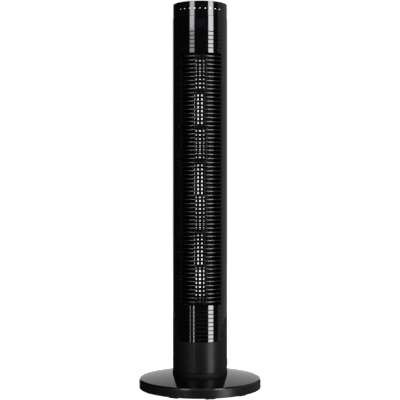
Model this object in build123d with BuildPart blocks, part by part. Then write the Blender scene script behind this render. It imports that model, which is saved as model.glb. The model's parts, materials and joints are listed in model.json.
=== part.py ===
from build123d import *
import math
import os

# Oscillating tower fan, in millimetres. +Z is up, the air outlet faces -Y, and the origin is on the
# floor under the middle of the round base. The column turns on a post in the base, a cross-flow
# wheel spins inside the column, and five keys travel in the control panel on top.

# ---- Driving dimensions -------------------------------------------------------------------------
# Base
base_radius = 120.5
base_edge_height = 21.0
base_shoulder_radius = 5.0
base_land_height = 30.0
base_land_radius = 57.0
base_crown = 1.2
base_wall = 2.5
skirt_bottom = 2.0
plate_thickness = 3.0
ballast_inner_radius = 42.0
ballast_width = 52.0
ballast_thickness = 6.0
foot_height = 3.0
foot_length = 20.0
foot_width = 9.0
foot_edge_gap = 2.5
foot_count = 10
foot_first_angle = -80.0

# Pivot between base and column
collar_extra_radius = 0.3
collar_height = 7.0
post_radius = 14.0
post_bore_radius = 9.0
post_flange_radius = 27.0
post_flange_thickness = 3.5
washer_thickness = 1.3
washer_recess = 0.8
swing_gap = 0.8
bush_wall = 3.0
bush_flange_thickness = 2.0
gear_thickness = 5.0
circlip_thickness = 1.2
gear_teeth = 60
pinion_teeth = 15
pinion_wall_gap = 5.5
tooth_width = 1.15

# Column shells
column_radius = 54.0
shell_wall = 2.5
floor_thickness = 3.5
lower_housing_height = 68.2
lip_height = 6.0
panel_drop = 7.4
panel_bottom_half_width = 41.4
panel_flare_start = 4.0
panel_flare_height = 50.0
panel_flare_blend = 18.0
rib_pitch = 7.948
rib_thickness = 2.4
open_slots = 62
closed_ribs_below = 8
closed_ribs_above = 5
lowest_rib_drop = 1.5
plain_band = 30.4
rib_depth = 3.5
groove_width = 1.9
groove_depth = 0.8
slot_half_angle = 50.0
grille_half_angle = 51.8
rail_step = 0.4
grille_above_rib = 2.4
intake_slot_height = 4.0
intake_slot_half_angle = 34.0
intake_half_angle = 35.8
intake_bar_angle = 20.0
intake_bar_half_angle = 1.2
intake_end_band = 5.0
head_shell_drop = 7.0
cap_height = 28.6
cap_inset = 0.5
cap_rim_width = 7.0
cap_rim_radius = 1.2
seam_gap = 0.4
boss_radius = 4.0
boss_levels = (10, 30, 50, 73)

# Cross-flow wheel and duct
wheel_segments = 7
wheel_to_shell = 19.5
wheel_end_gap = 3.9
blade_count = 24
blade_depth = 8.0
blade_thickness = 1.8
disc_thickness = 1.6
shaft_radius = 4.0
wheel_phase = 5.0
duct_wall = 1.8
duct_gap = 2.5
duct_to_shell = 1.6
guide_start_angle = 166.0

# Motor
motor_radius = 30.0
stack_height = 20.0
bell_height = 10.0
bell_wall = 2.0
rotor_radius = 15.0
yoke_width = 5.5
air_gap = 0.5
mount_height = 3.0
bracket_thickness = 3.0
bush_radius = 8.0
bush_height = 5.5
bracket_gap = 3.5
mount_count = 3
mount_radius = 26.0

# Control head
panel_recess = 4.0
panel_thickness = 3.0
panel_ledge = 6.5
key_count = 5
key_radius = 6.3
key_pitch_radius = 28.0
key_pitch_angle = 36.0
key_proud = 1.2
key_travel = 1.5
key_flange = 1.7
board_thickness = 1.6
board_depth = 13.0
window_width = 24.0
window_height = 18.0
window_above_rib = 6.4

# Carry grip, cord gland and electrics
grip_width = 64.0
grip_height = 26.0
grip_depth = 24.0
grip_wall = 2.0
grip_above_bracket = 20.0
gland_angle = 105.0
gland_width = 10.0
gland_height = 15.0
gland_proud = 2.0
gland_depth = 6.0
cord_hole_radius = 3.5
harness_radius = 2.0
harness_angle = 125.0
swing_motor_radius = 14.0
swing_motor_height = 19.0
swing_motor_offset = 8.0
swing_shaft_radius = 2.5

# Screws
screw_radius = 1.45
pilot_radius = 1.5
through_radius = 1.65
screw_head_radius = 2.8
screw_head_height = 1.6

# Clearances
fit_gap = 0.1
running_gap = 0.05
moving_gap = 0.3
loose_gap = 0.5

# ---- Derived sizes and levels -------------------------------------------------------------------
column_inner = column_radius - shell_wall
plate_bottom = foot_height
plate_top = plate_bottom + plate_thickness
collar_top = base_land_height + collar_height
column_bottom = collar_top + swing_gap
floor_top = column_bottom + floor_thickness
housing_top = column_bottom + lower_housing_height
panel_bottom = housing_top - panel_drop


def rib_level(index):
    """Height of a rib's middle, counted upwards from the lowest one."""
    return housing_top - lowest_rib_drop + index * rib_pitch


top_rib = closed_ribs_below + open_slots + closed_ribs_above
open_bottom = rib_level(closed_ribs_below)
open_top = rib_level(closed_ribs_below + open_slots)
grille_top = rib_level(top_rib) + grille_above_rib
intake_bottom = open_bottom - intake_end_band
intake_top = open_top + intake_end_band - 4.0
rear_shell_top = open_top + head_shell_drop
shell_top = rib_level(top_rib) + plain_band
cap_bottom = shell_top + seam_gap
overall_height = cap_bottom + cap_height

wheel_radius = column_inner - wheel_to_shell
wheel_bottom = open_bottom + wheel_end_gap
wheel_top = open_top - wheel_end_gap
segment_height = (wheel_top - wheel_bottom) / wheel_segments
hub_thickness = 3.0
hub_radius = 7.0

bracket_top = open_bottom - bracket_gap
bracket_bottom = bracket_top - bracket_thickness
bell_top = bracket_bottom - mount_height
stack_top = bell_top - bell_height
stack_bottom = stack_top - stack_height
motor_bottom = stack_bottom - bell_height
upper_bracket_bottom = open_top + 2.0
upper_bracket_top = upper_bracket_bottom + bracket_thickness

boss_x = column_inner - boss_radius - 1.5
boss_edge = boss_x - boss_radius

bush_top = floor_top + bush_flange_thickness
gear_bottom = bush_top + loose_gap
gear_top = gear_bottom + gear_thickness
post_top = gear_top + circlip_thickness + 1.5
gear_module = (column_inner - pinion_wall_gap) / (gear_teeth / 2 + pinion_teeth + 1)
gear_centre = gear_module * (gear_teeth + pinion_teeth) / 2
swing_plate_bottom = post_top + 1.5
swing_plate_top = swing_plate_bottom + 2.0
swing_motor_y = gear_centre - swing_motor_offset

cap_radius = column_radius - cap_inset
cap_top = overall_height
dish_radius = cap_radius - cap_rim_width
ledge_top = cap_top - panel_recess - panel_thickness
control_top = cap_top - panel_recess
board_top = control_top - panel_thickness - board_depth + board_thickness
board_bottom = board_top - board_thickness
key_hole_radius = key_radius + moving_gap
key_flange_top = ledge_top - moving_gap
key_stem_bottom = key_flange_top - key_flange - 3.0
switch_top = key_stem_bottom - key_travel - 0.2
window_bottom = rib_level(top_rib) + window_above_rib

os.makedirs("parts", exist_ok=True)


# ---- Shared shapes ------------------------------------------------------------------------------
def polar(radius, angle):
    """A point in plan; the angle is counted from the front (-Y) towards +X, in degrees."""
    return (radius * math.sin(math.radians(angle)), -radius * math.cos(math.radians(angle)))


def save(builder, name):
    """Label one finished piece and write it out."""
    builder.part.label = name
    export_step(builder.part, f"parts/{name}.step")


def disc(outer, inner, bottom, top):
    """A flat ring or tube between two levels."""
    with BuildPart() as ring:
        with BuildSketch(Plane.XY.offset(bottom)):
            Circle(outer)
            if inner > 0:
                Circle(inner, mode=Mode.SUBTRACT)
        extrude(amount=top - bottom)
    return ring.part


def turned(points):
    """A solid of revolution about Z from a closed outline of (radius, height) points."""
    with BuildPart() as body:
        with BuildSketch(Plane.XZ):
            with BuildLine():
                Polyline(*points, close=True)
            make_face()
        revolve(axis=Axis.Z)
    return body.part


def ring_sector(inner, outer, half_angle, height, middle_angle=0.0):
    """A piece of a ring, centred on a plan angle and on its own mid-height."""
    reach = 1.1 * outer / math.cos(math.radians(half_angle))
    with BuildPart() as sector:
        with BuildSketch(Plane.XY.offset(-height / 2)):
            Circle(outer)
            Circle(inner, mode=Mode.SUBTRACT)
            with BuildLine():
                Polyline(
                    (0, 0),
                    polar(reach, middle_angle - half_angle),
                    polar(reach, middle_angle + half_angle),
                    close=True,
                )
            make_face(mode=Mode.INTERSECT)
        extrude(amount=height)
    return sector.part


def front_panel_prism(margin):
    """The front panel's outline seen from the front, pushed forward from the seam plane."""
    half = panel_bottom_half_width + margin
    wide = column_radius + 10
    flare_bottom = housing_top + panel_flare_start
    flare_top = flare_bottom + panel_flare_height
    slope = (column_radius - panel_bottom_half_width) / panel_flare_height
    far_top = flare_top + (wide - column_radius) / slope
    with BuildPart() as prism:
        with BuildSketch(Plane.XZ.offset(seam_gap / 2 - margin)):
            with BuildLine():
                Polyline(
                    (-half, panel_bottom - margin),
                    (half, panel_bottom - margin),
                    (half, flare_bottom),
                    (wide + margin, far_top),
                    (wide + margin, shell_top + 10),
                    (-wide - margin, shell_top + 10),
                    (-wide - margin, far_top),
                    (-half, flare_bottom),
                    close=True,
                )
            outline = make_face()
            bends = outline.vertices().filter_by(lambda v: abs(v.Z - flare_bottom) < 0.01)
            fillet(bends, radius=panel_flare_blend)
        extrude(amount=column_radius + 20)
    return prism.part


def side_bosses(start, end, levels):
    """Screw bosses along Y beside both shell edges, trimmed to the inside of the shell."""
    with BuildPart() as bosses:
        for level in levels:
            with BuildSketch(Plane.XZ.offset(-start)):
                with Locations((-boss_x, rib_level(level)), (boss_x, rib_level(level))):
                    Circle(boss_radius)
            extrude(amount=start - end)
        keep = disc(column_radius - 1.0, 0, column_bottom, shell_top)
        add(keep, mode=Mode.INTERSECT)
    return bosses.part


def side_holes(radius, start, end, levels):
    """Round holes along Y on the shell boss axes."""
    with BuildPart() as holes:
        with BuildSketch(Plane.XZ.offset(-start)):
            for level in levels:
                with Locations((-boss_x, rib_level(level)), (boss_x, rib_level(level))):
                    Circle(radius)
        extrude(amount=start - end)
    return holes.part


def upright_screw(head_bottom, tip, radius=screw_radius, head_up=False):
    """One screw on the Z axis; the head lies below the shank unless head_up is set."""
    low, high = (head_bottom, head_bottom + screw_head_height)
    with BuildPart() as screw:
        add(disc(screw_head_radius, 0, low, high))
        if head_up:
            add(disc(radius, 0, tip, low))
        else:
            add(disc(radius, 0, high, tip))
        with BuildSketch(Plane.XY.offset(high if head_up else low)):
            Rectangle(screw_head_radius * 1.2, 0.6)
            Rectangle(0.6, screw_head_radius * 1.2)
        extrude(amount=-0.8 if head_up else 0.8, mode=Mode.SUBTRACT)
    return screw.part


def spur_gear(teeth, bore, bottom, top, first_tooth_angle):
    """A spur gear with straight-sided teeth that leave backlash on both flanks."""
    pitch_radius = gear_module * teeth / 2
    root = pitch_radius - 1.2 * gear_module
    tip = pitch_radius + 0.85 * gear_module
    wide = tooth_width * 1.45 * gear_module / 2
    narrow = tooth_width * 0.6 * gear_module / 2
    with BuildPart() as gear:
        with BuildSketch(Plane.XY.offset(bottom)):
            Circle(root)
            with PolarLocations(0, teeth, start_angle=first_tooth_angle):
                Polygon(
                    (root - 0.5, -wide),
                    (tip, -narrow),
                    (tip, narrow),
                    (root - 0.5, wide),
                    align=None,
                )
            Circle(bore, mode=Mode.SUBTRACT)
        extrude(amount=top - bottom)
    return gear.part


# ---- Base ---------------------------------------------------------------------------------------
foot_radius = base_radius - base_wall - foot_edge_gap - foot_width / 2
plate_radius = base_radius - base_wall - fit_gap
plate_screw_radius = ballast_inner_radius + ballast_width + 10.0
plate_screw_count = 6
post_screw_radius = (post_radius + post_flange_radius) / 2 + 1.0
post_screw_count = 4


def base_section(inset, bottom):
    """Half section of the domed base, drawn inset from its outer face."""
    edge = base_radius - inset
    crown_radius = (base_land_radius + base_radius) / 2
    crown_height = (base_land_height + base_edge_height) / 2 + base_crown
    with BuildPart() as body:
        with BuildSketch(Plane.XZ):
            with BuildLine():
                Polyline(
                    (edge, base_edge_height - inset),
                    (edge, bottom),
                    (0, bottom),
                    (0, base_land_height - inset),
                    (base_land_radius, base_land_height - inset),
                )
                ThreePointArc(
                    (base_land_radius, base_land_height - inset),
                    (crown_radius, crown_height - inset),
                    (edge, base_edge_height - inset),
                )
            section = make_face()
            shoulder = section.vertices().sort_by(lambda v: v.X + v.Z)[-1]
            fillet(shoulder, radius=base_shoulder_radius - inset)
        revolve(axis=Axis.Z)
    return body.part


with BuildPart() as plate_bosses:
    add(base_section(base_wall / 2, skirt_bottom))
    with BuildSketch(Plane.XY.offset(plate_top)):
        with PolarLocations(plate_screw_radius, plate_screw_count, start_angle=30):
            Circle(boss_radius)
    extrude(amount=base_land_height - plate_top, mode=Mode.INTERSECT)

with BuildPart() as base_cover:
    add(base_section(0, skirt_bottom))
    add(base_section(base_wall, skirt_bottom - 1), mode=Mode.SUBTRACT)
    add(plate_bosses.part)
    with BuildSketch(Plane.XY.offset(base_land_height - base_wall)):
        with PolarLocations(post_screw_radius, post_screw_count, start_angle=45):
            Circle(boss_radius)
    extrude(amount=-7)
    with BuildSketch(Plane.XY.offset(plate_top)):
        with PolarLocations(plate_screw_radius, plate_screw_count, start_angle=30):
            Circle(pilot_radius)
    extrude(amount=11, mode=Mode.SUBTRACT)
    with BuildSketch(Plane.XY.offset(base_land_height)):
        with PolarLocations(post_screw_radius, post_screw_count, start_angle=45):
            Circle(pilot_radius)
        Circle(post_bore_radius)
    extrude(amount=-8.5, mode=Mode.SUBTRACT)
save(base_cover, "base_cover")

with BuildPart() as base_plate:
    add(disc(plate_radius, 0, plate_bottom, plate_top))
    with Locations(Plane.XY.offset(plate_bottom)):
        with PolarLocations(plate_screw_radius, plate_screw_count, start_angle=30):
            with Locations(Rotation(180, 0, 0)):
                CounterBoreHole(
                    radius=through_radius,
                    counter_bore_radius=screw_head_radius + fit_gap,
                    counter_bore_depth=screw_head_height + fit_gap,
                    depth=plate_thickness,
                )
save(base_plate, "base_plate")

with BuildPart() as ballast_plate:
    ballast_outer = ballast_inner_radius + ballast_width
    add(disc(ballast_outer, ballast_inner_radius, plate_top, plate_top + ballast_thickness))
    chamfer(ballast_plate.edges().group_by(Axis.Z)[-1], length=0.8)
save(ballast_plate, "ballast_plate")

with BuildPart() as rubber_feet:
    with BuildSketch():
        with PolarLocations(foot_radius, foot_count, start_angle=foot_first_angle):
            RectangleRounded(foot_width, foot_length, 3.5)
    extrude(amount=foot_height)
    chamfer(rubber_feet.edges().group_by(Axis.Z)[0], length=0.6)
save(rubber_feet, "rubber_feet")

with BuildPart() as pivot_post:
    flange_top = base_land_height + post_flange_thickness
    add(disc(post_flange_radius, post_bore_radius, base_land_height, flange_top))
    add(disc(post_radius, post_bore_radius, base_land_height, post_top))
    with BuildSketch(Plane.XY.offset(base_land_height)):
        with PolarLocations(post_screw_radius, post_screw_count, start_angle=45):
            Circle(through_radius)
    extrude(amount=post_flange_thickness, mode=Mode.SUBTRACT)
    add(
        disc(post_radius + 1, post_radius - 1.0, gear_top + fit_gap, gear_top + fit_gap + circlip_thickness),
        mode=Mode.SUBTRACT,
    )
save(pivot_post, "pivot_post")

with BuildPart() as base_screws:
    plate_screw = upright_screw(plate_bottom + fit_gap, plate_top + 10)
    for spot in PolarLocations(plate_screw_radius, plate_screw_count, start_angle=30):
        add(spot * plate_screw)
    post_screw = upright_screw(flange_top, base_land_height - 8, head_up=True)
    for spot in PolarLocations(post_screw_radius, post_screw_count, start_angle=45):
        add(spot * post_screw)
save(base_screws, "base_screws")

collar_radius = column_radius + collar_extra_radius
collar_inner = post_flange_radius + screw_head_radius
washer_inner = collar_inner + 2.0
washer_outer = collar_radius - 6.0
washer_bottom = collar_top - washer_recess

with BuildPart() as base_collar:
    add(disc(collar_radius, collar_inner, base_land_height, collar_top))
    chamfer(base_collar.edges().group_by(Axis.Z)[-1].sort_by(SortBy.RADIUS)[-1], length=0.5)
    recess = disc(washer_outer + fit_gap, washer_inner - fit_gap, washer_bottom, collar_top + 1)
    add(recess, mode=Mode.SUBTRACT)
save(base_collar, "base_collar")

with BuildPart() as thrust_washer:
    add(disc(washer_outer, washer_inner, washer_bottom, washer_bottom + washer_thickness))
save(thrust_washer, "thrust_washer")

with BuildPart() as swing_gear:
    add(spur_gear(gear_teeth, post_radius + running_gap, gear_bottom, gear_top, 90))
save(swing_gear, "swing_gear")

with BuildPart() as post_circlip:
    clip_bottom = gear_top + fit_gap + running_gap
    clip_top = clip_bottom + circlip_thickness - 2 * running_gap
    add(disc(post_radius + 3, post_radius - 0.9, clip_bottom, clip_top))
    with BuildSketch(Plane.XY.offset(clip_bottom)):
        with Locations((0, -post_radius)):
            Rectangle(8, 12)
    extrude(amount=circlip_thickness, mode=Mode.SUBTRACT)
save(post_circlip, "post_circlip")

# ---- Column: lower housing and shells -----------------------------------------------------------
bush_outer = post_radius + bush_wall
lip_outer = column_inner - moving_gap
lip_inner = lip_outer - shell_wall
lip_bottom = housing_top - 4.0
stand_radius = column_inner - 6.5
stand_angles = (-55, 55, 130, -130)


def gland_block(margin, inner, outer):
    """The cord gland's square neck, laid along its own radius."""
    x_dir = (math.sin(math.radians(gland_angle)), -math.cos(math.radians(gland_angle)), 0)
    plane = Plane(origin=(0, 0, floor_top + 1.0 + gland_height / 2), z_dir=x_dir, x_dir=(0, 0, 1))
    with BuildPart() as block:
        with BuildSketch(plane.offset(inner)):
            RectangleRounded(gland_height + 2 * margin, gland_width + 2 * margin, 2.0 + margin)
        extrude(amount=outer - inner)
    return block.part


with BuildPart() as lower_housing:
    add(
        turned(
            [
                (bush_outer + fit_gap, column_bottom),
                (column_radius, column_bottom),
                (column_radius, housing_top),
                (lip_outer, housing_top),
                (lip_outer, housing_top + lip_height),
                (lip_inner, housing_top + lip_height),
                (lip_inner, lip_bottom),
                (column_inner, lip_bottom - shell_wall),
                (column_inner, floor_top),
                (bush_outer + fit_gap, floor_top),
            ]
        )
    )
    with BuildSketch(Plane.XY.offset(floor_top)):
        with Locations(*[polar(stand_radius, angle) for angle in stand_angles]):
            Circle(boss_radius - 0.5)
    extrude(amount=swing_plate_bottom - floor_top)
    with BuildSketch(Plane.XY.offset(swing_plate_bottom)):
        with Locations(*[polar(stand_radius, angle) for angle in stand_angles]):
            Circle(pilot_radius)
    extrude(amount=-9, mode=Mode.SUBTRACT)
    panel_seat = front_panel_prism(seam_gap) - disc(lip_outer, 0, 0, overall_height)
    add(panel_seat, mode=Mode.SUBTRACT)
    add(gland_block(fit_gap, column_inner - 3, column_radius + 3), mode=Mode.SUBTRACT)
save(lower_housing, "lower_housing")

with BuildPart() as pivot_bush:
    add(disc(bush_outer, post_radius + running_gap, column_bottom, floor_top))
    add(disc(bush_outer + 3, post_radius + running_gap, floor_top, bush_top))
save(pivot_bush, "pivot_bush")

with BuildPart() as cord_gland:
    add(gland_block(0, column_radius - gland_depth, column_radius + gland_proud - 1.0))
    add(gland_block(-1.0, column_radius, column_radius + gland_proud))
    gland_axis = Plane(
        origin=(0, 0, floor_top + 1.0 + gland_height / 2),
        z_dir=(math.sin(math.radians(gland_angle)), -math.cos(math.radians(gland_angle)), 0),
    )
    with BuildSketch(gland_axis.offset(column_radius - gland_depth - 1)):
        Circle(cord_hole_radius)
    extrude(amount=gland_depth + gland_proud + 2, mode=Mode.SUBTRACT)
save(cord_gland, "cord_gland")

grip_bottom = upper_bracket_top + grip_above_bracket
grip_middle = grip_bottom + grip_height / 2
screw_seat = 16.0
screw_tip = -10.0
open_rib_middles = [(0, 0, rib_level(closed_ribs_below + step)) for step in range(1, open_slots)]


def rear_part(bottom, top, levels):
    """A stretch of the rear shell with its own screw bosses."""
    with BuildPart() as part:
        add(disc(column_radius, column_inner, bottom, top))
        add(front_panel_prism(seam_gap), mode=Mode.SUBTRACT)
        add(side_bosses(seam_gap / 2, column_radius, levels))
        add(side_holes(through_radius, -1, screw_seat, levels), mode=Mode.SUBTRACT)
        head_gap = screw_head_radius + fit_gap
        add(side_holes(head_gap, screw_seat, column_radius, levels), mode=Mode.SUBTRACT)
    return part.part


def upright_sector(inner, outer, half_angle, bottom, top, middle_angle=0.0):
    """A ring sector between two levels."""
    sector = ring_sector(inner, outer, half_angle, top - bottom, middle_angle)
    return Pos(0, 0, (bottom + top) / 2) * sector


with BuildPart() as rear_shell:
    add(rear_part(housing_top + seam_gap, rear_shell_top, boss_levels[:-1]))
    intake_window = upright_sector(
        column_inner - 2,
        column_radius + 2,
        intake_half_angle + 0.2,
        intake_bottom - fit_gap,
        intake_top + fit_gap,
        180,
    )
    add(intake_window, mode=Mode.SUBTRACT)
save(rear_shell, "rear_shell")

with BuildPart() as rear_head_shell:
    add(rear_part(rear_shell_top + seam_gap, shell_top, boss_levels[-1:]))
    with BuildSketch(Plane.XZ):
        with Locations((0, grip_middle)):
            RectangleRounded(grip_width, grip_height, 8)
    extrude(amount=-column_radius - 5, mode=Mode.SUBTRACT)
save(rear_head_shell, "rear_head_shell")

rail_radius = column_radius - rail_step
rail_half = (grille_half_angle - slot_half_angle) / 2 + 0.1
rail_angle = grille_half_angle - rail_half
intake_rail_angle = intake_half_angle - rail_half

with BuildPart() as intake_grille:
    for side in (-1, 1):
        middle = 180 + side * intake_rail_angle
        add(upright_sector(column_inner, rail_radius, rail_half, intake_bottom, intake_top, middle))
    lowest_slot = open_bottom + (rib_pitch - intake_slot_height) / 2
    highest_slot = open_top - (rib_pitch - intake_slot_height) / 2
    band = (column_inner, column_radius, intake_slot_half_angle)
    add(upright_sector(*band, intake_bottom, lowest_slot, 180))
    add(upright_sector(*band, highest_slot, intake_top, 180))
    intake_rib = ring_sector(*band, rib_pitch - intake_slot_height, 180)
    with Locations(*open_rib_middles):
        add(intake_rib)
    for side in (-1, 1):
        middle = 180 + side * intake_bar_angle
        bar = (column_inner, column_inner + 1.2, intake_bar_half_angle)
        add(upright_sector(*bar, intake_bottom, intake_top, middle))
save(intake_grille, "intake_grille")

with BuildPart() as front_panel:
    add(disc(column_radius, column_inner, panel_bottom, shell_top))
    add(front_panel_prism(0), mode=Mode.INTERSECT)
    grille_window = upright_sector(
        column_inner - 2,
        column_radius + 2,
        grille_half_angle + 0.2,
        panel_bottom - 1,
        grille_top + fit_gap,
    )
    add(grille_window, mode=Mode.SUBTRACT)
    add(side_bosses(-column_radius, -seam_gap / 2, boss_levels))
    add(side_holes(pilot_radius, screw_tip - 3, 1, boss_levels), mode=Mode.SUBTRACT)
    with BuildSketch(Plane.XZ):
        with Locations((0, window_bottom + window_height / 2)):
            Rectangle(window_width, window_height)
    extrude(amount=column_radius + 5, mode=Mode.SUBTRACT)
save(front_panel, "front_panel")

with BuildPart() as outlet_grille:
    for side in (-1, 1):
        middle = side * rail_angle
        add(upright_sector(column_inner, rail_radius, rail_half, panel_bottom, grille_top, middle))
    band = (column_inner, column_radius, slot_half_angle)
    add(upright_sector(*band, panel_bottom, open_bottom + rib_thickness / 2))
    add(upright_sector(*band, open_top - rib_thickness / 2, grille_top))
    outlet_rib = ring_sector(column_radius - rib_depth, column_radius, slot_half_angle, rib_thickness)
    with Locations(*open_rib_middles):
        add(outlet_rib)
    closed_ribs = [*range(closed_ribs_below), *range(top_rib - closed_ribs_above + 1, top_rib + 1)]
    over = 0.5
    mouth = groove_width / 2 * (1 + over / groove_depth)
    vee = [(column_radius - groove_depth, 0), (column_radius + over, -mouth), (column_radius + over, mouth)]
    with Locations(*[(0, 0, rib_level(index)) for index in closed_ribs]):
        add(turned(vee), mode=Mode.SUBTRACT)
    add(front_panel_prism(0), mode=Mode.INTERSECT)
save(outlet_grille, "outlet_grille")

with BuildPart() as shell_screws:
    head_end = screw_seat + screw_head_height
    add(side_holes(screw_head_radius, screw_seat, head_end, boss_levels))
    add(side_holes(screw_radius, screw_tip, screw_seat, boss_levels))
save(shell_screws, "shell_screws")

with BuildPart() as display_window:
    window_top = window_bottom + window_height
    add(disc(column_radius, column_inner + fit_gap, window_bottom + fit_gap, window_top - fit_gap))
    with BuildSketch(Plane.XZ):
        with Locations((0, window_bottom + window_height / 2)):
            Rectangle(window_width - 2 * fit_gap, window_height)
    extrude(amount=column_radius + 5, mode=Mode.INTERSECT)
save(display_window, "display_window")

# ---- Carry grip ---------------------------------------------------------------------------------
with BuildPart() as grip_cup:
    grip_back = column_radius - grip_depth
    with BuildSketch(Plane.XZ.offset(-grip_back + grip_wall)):
        with Locations((0, grip_middle)):
            RectangleRounded(grip_width + 2 * grip_wall, grip_height + 2 * grip_wall, 8 + grip_wall)
    extrude(amount=-grip_depth)
    inside_shell = disc(column_inner - fit_gap, 0, grip_bottom - 20, grip_bottom + grip_height + 20)
    add(inside_shell, mode=Mode.INTERSECT)
    with BuildSketch(Plane.XZ.offset(-grip_back)):
        with Locations((0, grip_middle)):
            RectangleRounded(grip_width, grip_height, 8)
    extrude(amount=-grip_depth - 5, mode=Mode.SUBTRACT)
save(grip_cup, "grip_cup")

# ---- Cap and control head -----------------------------------------------------------------------
cap_inner = cap_radius - shell_wall
ledge_inner = dish_radius - panel_ledge
dish_outer = dish_radius + shell_wall
spigot_outer = column_inner - moving_gap
spigot_inner = spigot_outer - shell_wall

with BuildPart() as top_cap:
    add(
        turned(
            [
                (spigot_inner, cap_bottom - 5),
                (spigot_outer, cap_bottom - 5),
                (spigot_outer, cap_bottom),
                (cap_radius, cap_bottom),
                (cap_radius, cap_top),
                (dish_radius, cap_top),
                (dish_radius, ledge_top),
                (ledge_inner, ledge_top),
                (ledge_inner, ledge_top - shell_wall),
                (dish_outer, ledge_top - shell_wall),
                (dish_outer, cap_top - shell_wall),
                (cap_inner, cap_top - shell_wall),
                (cap_inner, cap_bottom + 4),
                (spigot_inner, cap_bottom + 4),
            ]
        )
    )
    rims = top_cap.edges().group_by(Axis.Z)[-1]
    fillet(rims, radius=cap_rim_radius)
save(top_cap, "top_cap")

key_angles = [(place - (key_count - 1) / 2) * key_pitch_angle for place in range(key_count)]
key_spots = [polar(key_pitch_radius, angle) for angle in key_angles]
board_posts = [polar(key_pitch_radius + 4, angle) for angle in (-115, 115, 180)]

with BuildPart() as control_panel:
    add(disc(dish_radius - fit_gap, 0, ledge_top, control_top))
    with BuildSketch(Plane.XY.offset(ledge_top)):
        with Locations(*key_spots):
            Circle(key_hole_radius)
    extrude(amount=panel_thickness, mode=Mode.SUBTRACT)
    with BuildSketch(Plane.XY.offset(ledge_top)):
        with Locations(*board_posts):
            Circle(3.0)
    extrude(amount=board_top - ledge_top)
    with BuildSketch(Plane.XY.offset(board_top)):
        with Locations(*board_posts):
            Circle(pilot_radius)
    extrude(amount=7, mode=Mode.SUBTRACT)
save(control_panel, "control_panel")

key_names = ("power", "speed", "swing", "timer", "mode")
for key_name, spot in zip(key_names, key_spots):
    with BuildPart() as key:
        with BuildSketch(Plane.XY.offset(key_flange_top - key_flange)):
            with Locations(spot):
                Circle(key_radius + 1.7)
        extrude(amount=key_flange)
        with BuildSketch(Plane.XY.offset(key_flange_top)):
            with Locations(spot):
                Circle(key_radius)
        extrude(amount=control_top + key_proud - key_flange_top)
        fillet(key.edges().group_by(Axis.Z)[-1], radius=0.8)
        with BuildSketch(Plane.XY.offset(key_stem_bottom)):
            with Locations(spot):
                Circle(2.0)
        extrude(amount=3.0)
    save(key, f"key_{key_name}")

with BuildPart() as control_board:
    add(disc(key_pitch_radius + 9, 0, board_bottom, board_top))
    with BuildSketch(Plane.XY.offset(board_bottom)):
        with Locations(*board_posts):
            Circle(through_radius)
    extrude(amount=board_thickness, mode=Mode.SUBTRACT)
save(control_board, "control_board")

with BuildPart() as tact_switches:
    with BuildSketch(Plane.XY.offset(board_top)):
        with Locations(*key_spots):
            Rectangle(6, 6)
    extrude(amount=switch_top - 1.0 - board_top)
    with BuildSketch(Plane.XY.offset(switch_top - 1.0)):
        with Locations(*key_spots):
            Circle(1.75)
    extrude(amount=1.0)
save(tact_switches, "tact_switches")

board_y = column_inner - 5.5
with BuildPart() as display_board:
    with BuildSketch(Plane.XZ.offset(board_y - board_thickness)):
        with Locations((0, window_bottom + window_height / 2)):
            Rectangle(window_width + 6, window_height)
    extrude(amount=board_thickness)
    with BuildSketch(Plane.XZ.offset(board_y)):
        with Locations((0, window_bottom + window_height / 2)):
            with GridLocations(5, 9, 4, 1):
                Rectangle(3, 1.6)
    extrude(amount=1.2)
save(display_board, "display_board")

# ---- Duct ---------------------------------------------------------------------------------------
duct_inner = wheel_radius + duct_gap
with BuildPart() as volute_guide:
    with BuildSketch(Plane.XY.offset(bracket_top)):
        with BuildLine() as guide_line:
            Spline(
                polar(duct_inner + 1.0, guide_start_angle),
                polar(duct_inner + 1.0, 142),
                polar(duct_inner + 1.2, 118),
                polar(duct_inner + 3.2, 92),
                polar(duct_inner + 8.0, 70),
                polar(column_inner - duct_to_shell, slot_half_angle + 3),
            )
        trace(line_width=duct_wall)
    extrude(amount=upper_bracket_bottom - bracket_top)
save(volute_guide, "volute_guide")

with BuildPart() as flow_cutoff:
    with BuildSketch(Plane.XY.offset(bracket_top)):
        with BuildLine() as cutoff_line:
            FilletPolyline(
                polar(column_inner - duct_to_shell, -slot_half_angle - 3),
                polar(duct_inner + 1.0, -86),
                polar(column_inner - duct_to_shell, slot_half_angle + 3 - 180),
                radius=4.0,
            )
        trace(line_width=duct_wall)
    extrude(amount=upper_bracket_bottom - bracket_top)
save(flow_cutoff, "flow_cutoff")

harness_spot = polar(column_inner - 6.0, harness_angle)
bracket_radius = column_inner - fit_gap


def bracket_disc(bottom, bore):
    """A round bracket plate across the column, notched for the wiring."""
    with BuildPart() as plate:
        add(disc(bracket_radius, bore, bottom, bottom + bracket_thickness))
        with BuildSketch(Plane.XY.offset(bottom)):
            with Locations(harness_spot):
                Circle(harness_radius + 1.0)
        extrude(amount=bracket_thickness, mode=Mode.SUBTRACT)
    return plate.part


with BuildPart() as upper_bracket:
    add(bracket_disc(upper_bracket_bottom, shaft_radius + 1.0))
    add(disc(bush_radius + 3, bush_radius, upper_bracket_top, upper_bracket_top + bush_height))
save(upper_bracket, "upper_bracket")

with BuildPart() as motor_bracket:
    add(bracket_disc(bracket_bottom, hub_radius + 3))
    with BuildSketch(Plane.XY.offset(bracket_bottom)):
        with PolarLocations(mount_radius, mount_count, start_angle=90):
            Circle(through_radius)
    extrude(amount=bracket_thickness, mode=Mode.SUBTRACT)
save(motor_bracket, "motor_bracket")

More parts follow.
